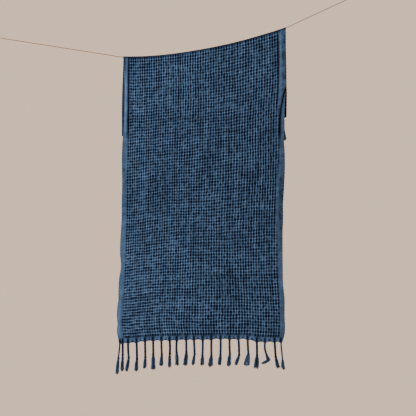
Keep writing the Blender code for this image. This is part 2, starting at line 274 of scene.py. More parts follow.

# The groove's and the ridge's places and widths, in columns, how broad the ridge's top is, its
# height, and how strong the painted mottled shade is
RIGHT_GROOVE = (59.76, 0.46)
RIDGE = (60.46, 0.36)
RIDGE_BROAD = 1.3
RIDGE_HEIGHT = 0.0009
MOTTLE = 0.5
MOST_MOTTLE = 1.6

# Crease where the turned-back right band turns to the front again, and its width, how broad its
# middle is, its depth and how much painted shade it gets
CREASE = (
    # drop, column, strength
    (0.150, 63.6, 0.0),
    (0.163, 62.9, 1.0),
    (0.194, 61.75, 1.0),
    (0.226, 61.15, 1.0),
    (0.285, 61.02, 0.9),
    (0.312, 61.00, 0.3),
    (0.340, 61.00, 0.0),
)
CREASE_WIDTH = 0.44
CREASE_BROAD = 1.6
CREASE_DEPTH = 0.0016
CREASE_PAINTED_SHADE = 1.0

# Millimetres that the front panel's edges stray outwards, by drop
LEFT_STRAY = (
    (0.00, 0.0), (0.02, 1.2), (0.06, 0.4), (0.14, 0.0), (0.183, 1.2), (0.226, 1.3), (0.27, 0.3),
    (0.35, -0.1), (0.40, 0.9), (0.44, -0.1), (0.488, 1.6), (0.532, 1.5), (0.575, -2.2),
    (0.60, 1.1), (0.64, 1.1), (0.663, -0.3), (0.685, 1.4), (0.705, 0.0), (0.728, -3.0),
    (0.75, 0.3), (0.78, 0.0),
)
RIGHT_STRAY = (
    (0.00, 0.0), (0.09, 0.4), (0.132, 1.1), (0.165, 1.4), (0.185, -0.6), (0.210, -1.0),
    (0.245, -0.5), (0.275, 0.0), (0.307, -1.9), (0.329, -0.2), (0.372, 1.9), (0.438, 1.6),
    (0.481, 0.3), (0.525, 1.3), (0.55, 0.2), (0.59, -0.2), (0.656, -0.3), (0.70, -1.4),
    (0.743, 0.2), (0.787, -1.6), (0.83, -0.3), (0.85, -2.4),
)

# Millimetres that the front hem hangs lower than its even curve, by millimetres along it
FRONT_HEM_STRAY = (
    (-10.0, 2.5), (6.0, 2.7), (27.0, 3.5), (50.0, 2.0), (73.0, 0.8), (97.0, 1.2), (119.0, 1.9),
    (141.0, 2.3), (160.0, 1.6), (184.0, 1.1), (231.0, 0.8), (254.0, -1.1), (279.0, -1.1),
    (304.0, -0.8), (327.0, -2.3), (344.0, -0.6), (359.0, 3.0), (376.0, 3.6), (398.0, 2.4),
    (424.0, 0.5), (443.0, 0.0),
)
STRAY_RISE = 0.030

# Where the cells look more like upright lines (above 0) or level lines (below 0), by the painted
# shade on their rims
CELL_LEANS = (
    # column, row, columns wide, rows high, lean
    (2.0, 8.0, 12.0, 20.0, -0.85),
    (1.5, 80.0, 3.0, 16.0, -0.2),
    (25.0, 84.0, 10.0, 13.0, 0.4),
    (56.0, 56.0, 9.0, 26.0, 0.5),
    (40.0, 18.0, 12.0, 12.0, 0.2),
)
LEAN_SHADE = 0.36

# How much the painted shade in the cells' hollows differs at random, within these limits
PIT_CHANGE = 0.20
PIT_LIMITS = (-2.0, 1.2)

# How much of a pit's painted shade the strongest level lean and the ridge take away, and how
# much of the reverse's extra painted shade its crossings get
PIT_LOSS = 0.9
REVERSE_CROSSING = 0.4

# Share of its height that each face keeps at the very edge, and how far in it grows, in cells
EDGE_KEEP = 0.4
EDGE_CELLS = (0.2, 0.15)

# Tassels draw the hem together. Each has a valley over its root, with painted shade, and a pleat
# on both sides, with painted light: their depth, width, place and painted shades, from which
# height to which they die away, and how light the gathered strip stays overall
GATHER_DEPTH = 0.0020
GATHER_WIDTH = 0.0032
GATHER_SHADE = 0.0036
GATHER_RISE = (0.005, 0.0125)
GATHER_PAINTED_SHADE = 0.95
DARK_RISE = (0.010, 0.0165)
PLEAT_PLACE = 0.0066
PLEAT_PUSH = 0.6
PLEAT_PAINTED_LIGHT = 0.3
DARK_LIMITS = (-0.75, 0.985)
HEM_LIGHT = 0.74

# Fine pleats fan out upwards from each root: how close they start, their width in millimetres,
# how far out they go, their painted light and shade, and their bump
FAN_CLOSE = 0.62
FAN_PLEAT = 14.5
FAN_REACH = 0.018
FAN_PAINTED_SHADE = (-0.9, 0.95)
FAN_BUMP = -2.0

# The hem's edge is scalloped between the tassels
SCALLOP = 0.0020
SCALLOP_RISE = 0.006
SCALLOP_SIDES = (0.001, 0.009)

# Tassels: two plies to a cord, one knot, and a tuft of loose yarns in three locks
PLY_RADIUS = 0.00220
PLY_OFFSET = 0.00125
PLY_TURN = 0.0078
TURN_CHANGE = (0.9, 1.12)
CORD_SWAY = (0.0003, 0.0005)
CORD_TONES = (0.08, 0.24)
THIN_PALER = 0.6
KNOT_WRAP = 0.0026
KNOT_RISE = 0.0016
KNOT_YARN = 0.00150
KNOT_TONE = 0.9
CORD_STEPS = 11
ROOT_DEPTH = 0.0030
LOCKS = 3
# Painted light and shade of the three locks, lightest on one side, mostly the left, and darkest in
# the middle, and the chance that this order is kept
LOCK_PAINTED_LIGHT = (0.70, -0.14, 0.32)
TONES_KEPT = 0.7
LOCK_REACH = 0.5
YARNS_PER_LOCK = 20
YARN_RADIUS = 0.00070
YARN_ENDS = (-0.0018, 0.0045)
YARN_TONES = (-0.12, 0.18)
YARN_SIZES = (0.8, 1.15)
YARN_TAPER = 0.75
YARN_POINTS = 8
YARN_WAVE = (0.0006, 0.0005)
YARN_WAVE_TURNS = (5.0, 11.0)
# Painted light on the yarns at a lock's sides, and how much paler the yarns get towards their ends
YARN_PAINTED_LIGHT_OUTSIDE = 0.15
YARN_PALE_END = 0.35
TUFT_EXTRA = 0.0012

# Front tassels in millimetres: root from the cloth's left end, knot and tip below the hem, how
# far each is sideways of the root, the tuft's spread, how far the tuft's middle is bent and the
# cord sways, and then the cord's thickness against the others
FRONT_TASSELS = (
    # root, knot_drop, knot_shift, tip_drop, tip_shift, spread, bend, sway, cord
    (-8.8, 39, -4.2, 81, -7.6, 4.2, 0.0, 0.4, 0.74),
    (-1.4, 41, 0.0, 73, -1.4, 4.0, 0.0, 0.3, 1.0),
    (13.5, 38.5, 1.6, 74.5, -3.5, 5.0, 0.8, -0.3, 1.0),
    (36.5, 44, 1.2, 76, -0.8, 5.0, 0.0, 0.2, 1.0),
    (59.5, 42, 0.8, 71, -1.1, 4.6, 0.5, 0.0, 1.0),
    (81.5, 36.5, 0.5, 76.5, 0.3, 6.8, 0.0, 0.3, 1.0),
    (104.0, 37.5, 1.1, 66.5, -0.3, 4.8, 0.0, -0.5, 1.0),
    (126.5, 34, 0.5, 70.5, 0.0, 4.0, -0.6, 0.6, 1.0),
    (146.0, 31, -0.8, 66, 0.5, 5.2, 1.0, -0.6, 1.0),
    (171.5, 31, 0.5, 67.5, -3.0, 6.8, 1.0, 0.2, 1.0),
    (192.5, 38, 1.9, 66, -1.9, 4.2, 0.0, 0.0, 1.0),
    (216.5, 41, -0.8, 67, -2.2, 6.6, 0.0, 0.3, 1.0),
    (240.0, 43, 0.0, 72.5, -2.7, 7.0, 0.0, -0.2, 1.0),
    (265.0, 41.5, -0.3, 69, -3.3, 4.8, 0.0, 0.3, 1.0),
    (289.5, 38.5, 0.8, 71, -1.6, 5.6, -1.2, -0.3, 1.0),
    (313.5, 42, 1.9, 67, -6.0, 5.0, 0.0, 0.8, 1.0),
    (338.5, 38, 2.2, 69.5, -2.5, 10.0, 0.0, -0.3, 1.0),
    (363.5, 35.5, 0.8, 70.5, -1.2, 13.0, 0.0, 0.0, 1.0),
    (386.0, 34, 4.4, 57.5, -5.0, 5.6, 11.5, -3.0, 0.95),
    (412.0, 39, 3.0, 69, 9.4, 5.4, -1.5, -0.4, 1.0),
    (429.0, 50, 5.0, 72, 7.0, 5.8, -0.8, -0.3, 0.74),
)

# How far a lock's yarns stand from its middle line: at the knot, where full, and more at the end
LOCK_ROUND = (0.0010, 0.0013, 0.0006)

# A tuft bent further than this is folded sharply. One spread wider than the next has a thin middle
# lock, and one wider still is fluffy. The middle lock stands nearer than the others, which end
# higher, and each lock starts apart in the knot and bows by a share of its way out.
SHARP_BEND = 8.0
FOLD_SHARE = 0.62
FOLD_START = 0.12
FOLD_PULL = 0.25
BOW_PLACE = 0.55
WIDE_SPREAD = 9.8
THIN_LOCK_YARNS = 15
FLUFFY_SPREAD = 12.0
FLUFFY_REACH = 0.26
FLUFFY_ROUND = 1.7
LOCK_NEARER = 0.0014
LOCK_START = 0.5
LOCK_BOW = 0.3
SIDE_LOCK_RISE = 0.002

# Back tassels hang much the same, evenly spaced and out of sight but for the last one's tip
BACK_TASSEL_COUNT = 21
BACK_FIRST_ROOT = 6.0
BACK_LAST_ROOT = 436.0
BACK_SEED = 11
BACK_LAST_TASSEL = (436.0, 33, 1.5, 60, 4.0, 4.8, 0.0, 0.0, 1.0)

# What the others have by chance, from least to most: how far a root strays, then knot_drop,
# knot_shift, tip_drop, tip_shift and spread, and the sway
BACK_ROOT_CHANGE = 1.5
BACK_SHAPES = ((33, 41), (-1.5, 1.5), (66, 76), (-2.5, 2.5), (3.8, 6.5))
BACK_SWAY = 0.6

# Seeds of what comes by chance
WEAVE_SEED = 5
HEIGHT_SEED = 9
MOTTLE_SEED = 17
STREAK_SEED = 21
PIT_SEED = 31
FRINGE_SEEDS = (3, 4)

# Floor under the towel, pale room, and lights
FLOOR_PLACE = (0.6, -9.0, -1.40)
FLOOR_SIZE = (30.0, 22.0, 1.0)
FLOOR_COLOUR = (0.60, 0.53, 0.47)
ROOM_COLOUR = (1.0, 0.74, 0.55, 1.0)
LIGHT_TARGET = (0.6, 0.0, -0.45)
LIGHTS = (
    # name, place, power, size
    ("main_light", (-1.6, -2.6, 1.1), 90.0, 0.9),
    ("back_light", (2.2, 2.6, 1.2), 35.0, 1.5),
)

# The cloth's colours where its rims cross, of the painted shade in its pits, on its bands, and a
# navy under them all
CROSSING_COLOUR = (0.124, 0.261, 0.505, 1.0)
PAINTED_PIT_SHADE = (0.0002, 0.0012, 0.010, 1.0)
PIT_CURVE = 0.55
BAND_COLOURS = ((0.040, 0.090, 0.188, 1.0), (0.062, 0.125, 0.248, 1.0))
UNDER_COLOUR = (0.0002, 0.0010, 0.0085)
WARP_YARNS = 7
WEFT_YARNS = 8

# Blotches and fuzz: scale, detail, roughness; and how wear, threads and fuzz change the light
BLOTCH = (26.0, 3.0)
FUZZ = (1500.0, 3.0, 0.7)
WORN_LEVEL = (0.35, 0.825)
THREAD_LEVEL = (0.10, 0.97)
FUZZ_LEVEL = (0.5, 0.75)
YARN_BLOTCH = (160.0, 2.0)
YARN_FUZZ = (1800.0, 3.0, 0.7)
YARN_FUZZ_LEVEL = (0.6, 0.7)
YARN_BLOTCH_LEVEL = (0.5, -0.25)

# Fibres of a yarn: stripes for each millimetre along and each turn round, and how strong; and
# how strong and deep the small bumps of yarns and cloth are
FIBRES_ALONG = 1.1
FIBRES_ROUND = 4.0
FIBRE_STRIPE = 0.10
YARN_BUMP = (0.5, 0.0003)
CLOTH_BUMP = (0.5, 0.00035)
THREAD_BUMP = 0.5

# Yarns' colours, dark and light, and the tint of the light that grazes them
STRING_COLOURS = ((0.16, 0.09, 0.05, 1.0), (0.36, 0.22, 0.14, 1.0))
FRINGE_COLOURS = ((0.0014, 0.0044, 0.018, 1.0), (0.058, 0.122, 0.245, 1.0))
BLUE_SHEEN = (0.25, 0.50, 0.90, 1.0)
PALE_SHEEN = (1.0, 0.90, 0.80, 1.0)
SHEEN = 0.03
DULL_YARN = {"Sheen Roughness": 0.45, "Specular IOR Level": 0.05}


def smooth_table(rows, column, at):
    """A column's values at places along the first column, on a smooth curve through the rows."""
    table = np.array(rows, dtype=float)
    places = table[:, 0]
    values = table[:, column]
    slopes = np.gradient(values, places)
    row = np.clip(np.searchsorted(places, at) - 1, 0, len(places) - 2)
    span = places[row + 1] - places[row]
    part = (at - places[row]) / span
    square = part * part
    cube = square * part
    start = (2 * cube - 3 * square + 1) * values[row]
    start_slope = (cube - 2 * square + part) * span * slopes[row]
    end = (3 * square - 2 * cube) * values[row + 1]
    end_slope = (cube - square) * span * slopes[row + 1]
    return start + start_slope + end + end_slope


def ease(value, low, high):
    """0 up to low, 1 from high on, and a smooth step between."""
    part = np.clip((value - low) / (high - low), 0.0, 1.0)
    return part * part * (3 - 2 * part)


def line_height(along):
    return smooth_table(LINE_ROUTE, 1, np.asarray(along, dtype=float))


def line_slope(along):
    step = 0.002
    return np.arctan2(line_height(along + step) - line_height(along - step), 2 * step)


def hem_height(hem, share_across):
    """Height of a hem, on a parabola through its left end, middle and right end."""
    left, middle, right = hem
    bow = 2 * left + 2 * right - 4 * middle
    return left + (right - left - bow) * share_across + bow * share_across**2


def panel_drop(hem, share_across):
    """How far a panel hangs from the line to its hem."""
    return line_height(FOLD_LEFT + share_across * FOLD_WIDTH) - hem_height(hem, share_across)


def wave_depth(along, drop):
    """Depth of the soft waves, and of the turned-back right side band, at a place on the cloth."""
    across = (along - FOLD_LEFT) / FOLD_WIDTH
    growth = ease(drop, 0.0, WAVE_FULL_DROP)
    depth = np.zeros_like(drop)
    for height, turns, start in WAVES:
        depth += growth * height * np.sin(2 * math.pi * turns * across + start)
    from_ridge = along - (FOLD_LEFT + FOLD_WIDTH - SELVEDGE_WIDTH)
    starts, full, ends, gone = TURN_BACK_DROP
    turned = ease(drop, starts, full) * (1 - ease(drop, ends, gone))
    return depth + turned * TURN_BACK * ease(from_ridge, 0.0, SELVEDGE_WIDTH)


def panel_points(panel, hem, share_across, share_down):
    """Points of the cloth's middle surface, on the front or the back panel."""
    left = FOLD_LEFT + smooth_table(panel, 1, share_down)
    right = FOLD_LEFT + FOLD_WIDTH + smooth_table(panel, 2, share_down)
    along = left + share_across * (right - left)
    fold_height = line_height(FOLD_LEFT + share_across * FOLD_WIDTH)
    drop = share_down * (fold_height - hem_height(hem, share_across))
    depth = smooth_table(panel, 3, share_down) + wave_depth(along, drop)
    return np.stack((along, depth, fold_height - drop), axis=-1)


def near(at, place, width):
    """1 at a place, falling away smoothly to each side of it."""
    return np.exp(-(((at - place) / width) ** 2))


def onto_bands(column, low, high):
    """0 in the field and 1 out on the left and the right side band, with a step between."""
    return ease(-column, low, high), ease(column - COLUMNS, low, high)


def band_value(table, which, drop):
    return smooth_table(table, which, np.clip(drop, 0.0, table[-1][0]))


def stray(table, at):
    """How far an edge strays from its even curve, in metres."""
    return smooth_table(table, 1, np.clip(at, table[0][0], table[-1][0])) / 1000


def band_groove(column, drop, which):
    """The grooves beside the field, by the band tables' groove or painted groove shade column."""
    left = near(column, *LEFT_GROOVE) * band_value(LEFT_BAND, which, drop)
    return left + near(column, *RIGHT_GROOVE) * band_value(RIGHT_BAND, which, drop)


def ridge_share(column, drop):
    """1 along the smooth ridge beside the right band's groove."""
    share = near(column, *RIDGE) * band_value(RIGHT_BAND, 5, drop)
    return np.clip(share * RIDGE_BROAD, 0.0, 1.0)


def crease_share(column, drop):
    """1 along the slanting crease at the foot of the turned-back band, 0 away from it."""
    place = band_value(CREASE, 1, np.maximum(drop, CREASE[0][0]))
    strength = band_value(CREASE, 2, np.maximum(drop, CREASE[0][0]))
    close = np.clip(CREASE_BROAD * near(column, place, CREASE_WIDTH), 0.0, 1.0)
    return np.clip(strength, 0.0, 1.0) * close


def band_painted_light(column, drop):
    """Painted light and shade of the front side bands, mottled where the right one turns back."""
    chance = np.random.default_rng(MOTTLE_SEED)
    patches = smoothed(smoothed(chance.normal(0.0, 1.0, column.shape), 0, 3), 1, 1)
    patches = np.clip(patches, -MOST_MOTTLE, MOST_MOTTLE)
    mottle = 1 + MOTTLE * patches * band_value(RIGHT_BAND, 6, drop)
    on_left, on_right = onto_bands(column, 0.0, BAND_STEP)
    edge = band_value(LEFT_BAND, 6, drop) * ease(-column, *LEFT_EDGE)
    left = on_left * (band_value(LEFT_BAND, 4, drop) * (1 - edge) - 1)
    edge = band_value(RIGHT_BAND, 7, drop) * ease(column - COLUMNS, *RIGHT_EDGE)
    right = on_right * (band_value(RIGHT_BAND, 4, drop) * mottle * (1 - edge) - 1)
    return 1 + left + right


def band_depth(column, drop):
    """How far the front panel's side bands and their grooves stand back."""
    on_left, on_right = onto_bands(column, -BAND_STEP, BAND_COLUMNS)
    left = on_left * band_value(LEFT_BAND, 1, drop)
    right = on_right * band_value(RIGHT_BAND, 1, drop)
    crease = CREASE_DEPTH * crease_share(column, drop)
    ridge = RIDGE_HEIGHT * ridge_share(column, drop)
    return left + right + crease + band_groove(column, drop, 2) - ridge


def fold_points(share_across, angle):
    """Points of the cloth's middle surface where it bends over the line."""
    along = FOLD_LEFT + share_across * FOLD_WIDTH
    rise = FOLD_RADIUS * np.sin(angle) / np.cos(line_slope(along))
    return np.stack((along, -FOLD_RADIUS * np.cos(angle), line_height(along) + rise), axis=-1)


def fold_share(row):
    """1 where the cloth bends over the line, 0 on the panels."""
    return 1 - ease(np.abs(row - FRONT_ROWS - 0.5), 0.5, 0.95)


def weave_lines(cells):
    """Where the mesh has its lines over a run of cells: at each rim and floor's two sides."""
    lines = []
    for cell in range(cells):
        if cell > 0:
            lines += [cell - RIM, cell + RIM]
        lines += [cell + FLOOR, cell + 1 - FLOOR]
    return lines


def column_lines():
    """Lines across the cloth, in cells: the left band, the waffle field, the right band."""
    right = [COLUMNS - place for place in reversed(BAND_LINES)]
    return np.array([*BAND_LINES, *weave_lines(COLUMNS), *right])


def row_lines():
    """Lines up the cloth, in cells: front hem, front rows, fold, back rows, back hem."""
    top = FRONT_ROWS + 1
    fold = [FRONT_ROWS + place for place in FOLD_LINES]
    back = [top + place for place in weave_lines(BACK_ROWS)]
    back_hem = [top + BACK_ROWS - place for place in reversed(HEM_LINES)]
    return np.array([*HEM_LINES, *weave_lines(FRONT_ROWS), *fold, *back, *back_hem])


def field_share(column, share_down):
    """Share across the waffle field of a column, from the cells' widths at fold and hem."""
    steps = np.linspace(0.0, 1.0, 200)
    places = []
    for which in (1, 2):
        widths = smooth_table(COLUMN_WIDTHS, which, steps)
        sums = np.concatenate(([0.0], np.cumsum((widths[1:] + widths[:-1]) / 2)))
        places.append(np.interp(column / COLUMNS, steps, sums / sums[-1]))
    return places[0] + (places[1] - places[0]) * share_down


def cloth_share(column, share_down):
    """Share across the whole cloth of a column, side bands and waffle field."""
    band = SELVEDGE_WIDTH / FOLD_WIDTH
    left = band * (column + BAND_COLUMNS) / BAND_COLUMNS
    right = 1 - band * (COLUMNS + BAND_COLUMNS - column) / BAND_COLUMNS
    field = band + (1 - 2 * band) * field_share(np.clip(column, 0, COLUMNS), share_down)
    return np.where(column < 0, left, np.where(column > COLUMNS, right, field))


def uneven_weave(columns, rows):
    """The columns and rows moved a little, slowly over the cloth and cell by cell."""
    chance = np.random.default_rng(WEAVE_SEED)
    cell_row = np.rint(rows + HEM_ROWS).astype(int)
    cell_column = np.rint(columns + BAND_COLUMNS).astype(int)
    size = (cell_row.max() + 1, cell_column.max() + 1)
    inside = ease(columns, 0.0, EVEN_CELLS) * (1 - ease(columns, COLUMNS - EVEN_CELLS, COLUMNS))
    top = FRONT_ROWS + 0.5
    inside = inside * ease(rows, 0.0, EVEN_CELLS) * ease(abs(rows - top), 1.0, 1.0 + EVEN_CELLS)
    inside = inside * (1 - ease(rows, top + BACK_ROWS - EVEN_CELLS, top + BACK_ROWS))
    column_move = chance.normal(0.0, CELL_SHIFT, size)[cell_row, cell_column]
    row_move = chance.normal(0.0, CELL_SHIFT, size)[cell_row, cell_column]
    for columns_by, rows_by, across, up, start in SLOW_SHIFTS:
        turn = 2 * math.pi * (across * columns / COLUMNS + up * rows / FRONT_ROWS) + start
        column_move = column_move + columns_by * np.sin(turn)
        row_move = row_move + rows_by * np.sin(turn + 1.3)
    column_move = np.clip(column_move, -MOST_SHIFT, MOST_SHIFT)
    row_move = np.clip(row_move, -MOST_SHIFT, MOST_SHIFT)
    return columns + column_move * inside, rows + row_move * inside


def tassel_roots(tassels):
    return np.array([FOLD_LEFT + row[0] / 1000 for row in tassels])


def from_nearest(along, roots):
    """Distance from each place to the nearest tassel's root."""
    return np.abs(along[..., None] - roots).min(axis=-1)


def smoothed(values, axis, times):
    """Random values averaged with their neighbours along one axis, back to their first spread."""
    spread = values.std()
    for _ in range(times):
        values = (np.roll(values, 1, axis) + 2 * values + np.roll(values, -1, axis)) / 4
    return values * spread / values.std()


def streaks(column, row):
    """Lighter and darker runs of yarn, along the columns and along the rows."""
    chance = np.random.default_rng(STREAK_SEED)
    size = (FRONT_ROWS + BACK_ROWS + 2 * HEM_ROWS + 3, COLUMNS + 2 * BAND_COLUMNS + 2)
    cell = (np.rint(row + HEM_ROWS).astype(int), np.rint(column + BAND_COLUMNS).astype(int))
    down = smoothed(chance.normal(0.0, 1.0, size), 0, STREAK_RUNS[0])[cell]
    over = smoothed(chance.normal(0.0, 1.0, size), 1, STREAK_RUNS[1])[cell]
    single = chance.normal(0.0, 1.0, size)[cell]
    change = sum(share * part for share, part in zip(STREAK_SHARES, (down, over, single)))
    return 1 + STREAK * np.clip(change, -2.0, 2.0)


def stray_edges(points, column, drop, height):
    """Moves the front panel's sides and hem off their even curves."""
    on_left, on_right = onto_bands(column, 0.0, BAND_COLUMNS)
    points[..., 0] += on_right * stray(RIGHT_STRAY, drop) - on_left * stray(LEFT_STRAY, drop)
    lower = stray(FRONT_HEM_STRAY, (points[..., 0] - FOLD_LEFT) * 1000)
    points[..., 2] -= lower * (1 - ease(height, 0.0, STRAY_RISE))


def gather_hem(points, height, roots, outwards):
    """Draws a panel's hem together at its tassels' roots.

    It gives the painted shade of the valleys less the painted light of the pleats, how far a place
    is from the nearest root in the fan of pleats, how much the cloth is gathered, and 1 at the
    hem, dying away up the cloth.
    """
    apart = from_nearest(points[..., 0], roots)
    lift = -SCALLOP / 2 + 1.5 * SCALLOP * ease(apart, *SCALLOP_SIDES)
    points[..., 2] += (1 - ease(height, 0.0, SCALLOP_RISE)) * lift
    rise = 1 - ease(height, *GATHER_RISE)
    valley = near(apart, 0.0, GATHER_WIDTH)
    pleats = near(apart, PLEAT_PLACE, GATHER_WIDTH)
    points[..., 1] += outwards * rise * GATHER_DEPTH * (PLEAT_PUSH * pleats - valley)
    shade = near(apart, 0.0, GATHER_SHADE)
    dark = GATHER_PAINTED_SHADE * shade * (1 - ease(height, *DARK_RISE)) - PLEAT_PAINTED_LIGHT * pleats * rise
    fan = apart / (FAN_CLOSE + (1 - FAN_CLOSE) * np.clip(height / HEM_HEIGHT, 0.0, 1.0))
    return dark, fan, rise * near(fan, 0.0, FAN_REACH), rise


def finished_panel(column, row, front, roots):
    """A panel's points, painted light and shade, and how ridged, far from a root and gathered each
    is.
    """
    if front:
        panel, hem, count, up, outwards = FRONT_PANEL, FRONT_HEM, FRONT_ROWS, row, -1.0
    else:
        panel, hem, count, outwards = BACK_PANEL, BACK_HEM, BACK_ROWS, 1.0
        up = ALL_ROWS - row
    rough = cloth_share(column, 1 - up / count)
    drop = panel_drop(hem, rough)
    hem_share = HEM_HEIGHT / drop
    in_hem = 1 - hem_share * (up + HEM_ROWS) / HEM_ROWS
    down = np.where(up < 0, in_hem, (1 - hem_share) * (1 - up / count))
    down = np.clip(down, 0.0, 1.0)
    sag = ROW_DROOP * np.sin(math.pi * down) * (1 - ease(rough, 0.0, ROW_DROOP_REACH))
    down = down + (sag / drop if front else 0.0)
    points = panel_points(panel, hem, cloth_share(column, down), down)
    height = (1 - down) * drop
    fallen = down * drop
    if front:
        stray_edges(points, column, fallen, height)
    else:
        out_here = BACK_STRAY * ease(fallen, *BACK_STRAY_DROP)
        points[..., 0] += out_here * ease(column - COLUMNS, 0.0, BAND_COLUMNS)
    dark, fan, gathered, rise = gather_hem(points, height, roots, outwards)
    light = np.ones_like(dark)
    ridge = np.zeros_like(dark)
    if front:
        points[..., 0] += ease(-column, 0.4, BAND_COLUMNS) * band_value(LEFT_BAND, 5, fallen)
        points[..., 1] += band_depth(column, fallen)
        ridge = ridge_share(column, fallen)
        dark = dark + band_groove(column, fallen, 3) + CREASE_PAINTED_SHADE * crease_share(column, fallen)
        light = band_painted_light(column, fallen)
    # Painted shade in the grooves, the crease and the valleys, painted light on the pleats, and
    # the gathered strip kept a little darker
    light = light * (1 - np.clip(dark, *DARK_LIMITS)) * (1 - (1 - HEM_LIGHT) * rise)
    return points, light, ridge, fan * 1000, gathered


def cloth_middle(columns, rows, front_roots, back_roots):
    """The cloth's middle surface, an array of points, rows by columns, and what lies on it.

    With the points come the cloth's painted light and shade with its random streaks, how smooth
    its ridge is, how far a place is from the nearest tassel's root in the fan of pleats, and how
    much it is gathered.
    """
    column, row = uneven_weave(*np.meshgrid(columns, rows))
    top = FRONT_ROWS
    sides = [
        finished_panel(column, row, True, front_roots),
        finished_panel(column, row, False, back_roots),
    ]
    fold = fold_points(cloth_share(column, 0.0), math.pi * (np.clip(row - top, 0.0, 1.0)))
    plain = np.zeros_like(row)
    over = (fold, plain + 1, plain, plain, plain)
    found = []
    for front, back, between in zip(*sides, over):
        on_front, on_back = row < top, row > top + 1
        if front.ndim > 2:
            on_front, on_back = on_front[..., None], on_back[..., None]
        found.append(np.where(on_front, front, np.where(on_back, back, between)))
    middle, light, ridge, fan, gathered = found
    # Painted shade where the cloth bends over the line
    light = light * (1 - FOLD_PAINTED_SHADE * fold_share(row))
    # Painted light falling off from the left side to the right, with the yarns' random streaks
    light = light * (PAINTED_LIGHT_LEFT - PAINTED_LIGHT_LOSS * column / COLUMNS) * streaks(column, row)
    return middle, light, ridge, fan, gathered


def rim_share(places, count, reverse):
    """1 on the rims between cells and 0 on their floors. The reverse has them half a cell on."""
    if reverse:
        places = places + 0.5
        rim, floor = 0.5 - FLOOR, 0.5 - RIM
    else:
        places = np.where((places < 0.5) | (places > count - 0.5), 0.5, places)
        rim, floor = RIM, FLOOR
    apart = np.abs(places - np.rint(places))
    return np.clip((floor - apart) / (floor - rim), 0.0, 1.0)


def cell_lean(column, row):
    """How much the cells look like upright lines, above 0, or level lines, below 0."""
    lean = np.zeros_like(column)
    for across, up, wide, high, amount in CELL_LEANS:
        lean += amount * near(column, across, wide) * near(row, up, high)
    return lean


def relief(columns, rows, reverse, ridge):
    """Height of one face of the cloth over its middle surface, and how much painted shade it
    gets for lying in a hollow.
    """
    rims = (rim_share(columns, COLUMNS, reverse), rim_share(rows, ALL_ROWS, reverse))
    across, up = np.meshgrid(*rims)
    column, row = np.meshgrid(columns, rows)
    height = HOLLOW * (1 - across) * (1 - up)
    height = height + CROSSING * across * up
    height = height + COLUMN_RIM * across * (1 - up)
    height = height + ROW_RIM * (1 - across) * up
    lean = LEAN_SHADE * cell_lean(column, row)
    deeper = REVERSE_SHADE * reverse
    hollow = (1 - across) * (1 - up) * (1 - PIT_LOSS * np.clip(-lean, 0.0, 0.5))
    row_rim = np.clip(ROW_RIM_SHADE + deeper + lean, *ROW_SHADE_LIMITS)
    column_rim = np.clip(COLUMN_RIM_SHADE + deeper - lean, *COLUMN_SHADE_LIMITS)
    hollow = hollow + row_rim * (1 - across) * up + column_rim * across * (1 - up)
    hollow = hollow + REVERSE_CROSSING * deeper * across * up
    chance = np.random.default_rng(PIT_SEED)
    pits = chance.normal(0.0, 1.0, (ALL_ROWS + 8, COLUMNS + 8))
    pits = 1 + PIT_CHANGE * np.clip(pits, *PIT_LIMITS)
    pit = (np.floor(row + 3).astype(int), np.floor(column + 3).astype(int))
    hollow = hollow * pits[pit]
    height = height + (PLAIN - height) * ridge
    hollow = hollow * (1 - PIT_LOSS * ridge)
    plain = (column < 0) | (column > COLUMNS) | (row < 0) | (row > ALL_ROWS)
    height = np.where(plain, PLAIN, height)
    height = height + (FOLD_HEIGHTS[int(reverse)] - height) * FOLD_FLAT * fold_share(row)
    hollow = np.where(plain, 0.0, hollow)
    return height, hollow, plain.astype(float)


def edge_thinning(columns, rows):
    """Share of its height that each face keeps close to the cloth's edges."""
    column, row = np.meshgrid(columns, rows)
    side = np.minimum(column + BAND_COLUMNS, COLUMNS + BAND_COLUMNS - column)
    end = np.minimum(row + HEM_ROWS, ALL_ROWS + HEM_ROWS - row)
    grown = ease(side, 0.0, EDGE_CELLS[0]) * ease(end, 0.0, EDGE_CELLS[1])
    return EDGE_KEEP + (1 - EDGE_KEEP) * grown


def outward(surface):
    """Unit directions straight out of a surface of points."""
    up = np.gradient(surface, axis=0)
    across = np.gradient(surface, axis=1)
    out = np.cross(across, up)
    return out / np.linalg.norm(out, axis=-1, keepdims=True)


def cloth_faces(columns, rows, front_roots, back_roots):
    """Both faces of the cloth: points, the painted shade of their hollows, how plain they are,
    their painted light and shade, and the gathers.
    """
    middle, tone, ridge, fan, gathered = cloth_middle(columns, rows, front_roots, back_roots)
    column, row = np.meshgrid(columns, rows)
    scallop = SELVEDGE_SCALLOP * np.cos(2 * math.pi * row)
    side = (column <= -1.9) * 1.0 - (column >= COLUMNS + 1.9) * 1.0
    middle[..., 0] += side * scallop * ((row > 0) & (row < FRONT_ROWS + BACK_ROWS))
    out = outward(middle)
    keep = edge_thinning(columns, rows)
    chance = np.random.default_rng(HEIGHT_SEED)
    change = chance.normal(0.0, CELL_HEIGHT_CHANGE, middle.shape[:2])
    change = np.clip(change, -MOST_HEIGHT_CHANGE, MOST_HEIGHT_CHANGE)
    faces = []
    for reverse, away in ((False, 1.0), (True, -1.0)):
        height, hollow, plain = relief(columns, rows, reverse, ridge)
        change_here = np.where(plain > 0.5, 0.0, change)
        points = middle + away * out * ((height + change_here) * keep)[..., None]
        # Painted shade on the back panel's bands where the front panel covers their reverse face
        on_left, on_right = onto_bands(column, *COVERED_STEP)
        covered_shade = COVERED_PAINTED_SHADE[0] * on_left + COVERED_PAINTED_SHADE[1] * on_right
        covered_shade = covered_shade * reverse * (row > FRONT_ROWS + 1)
        faces.append((points, hollow, plain, tone * (1 - covered_shade), fan, gathered))
    return faces


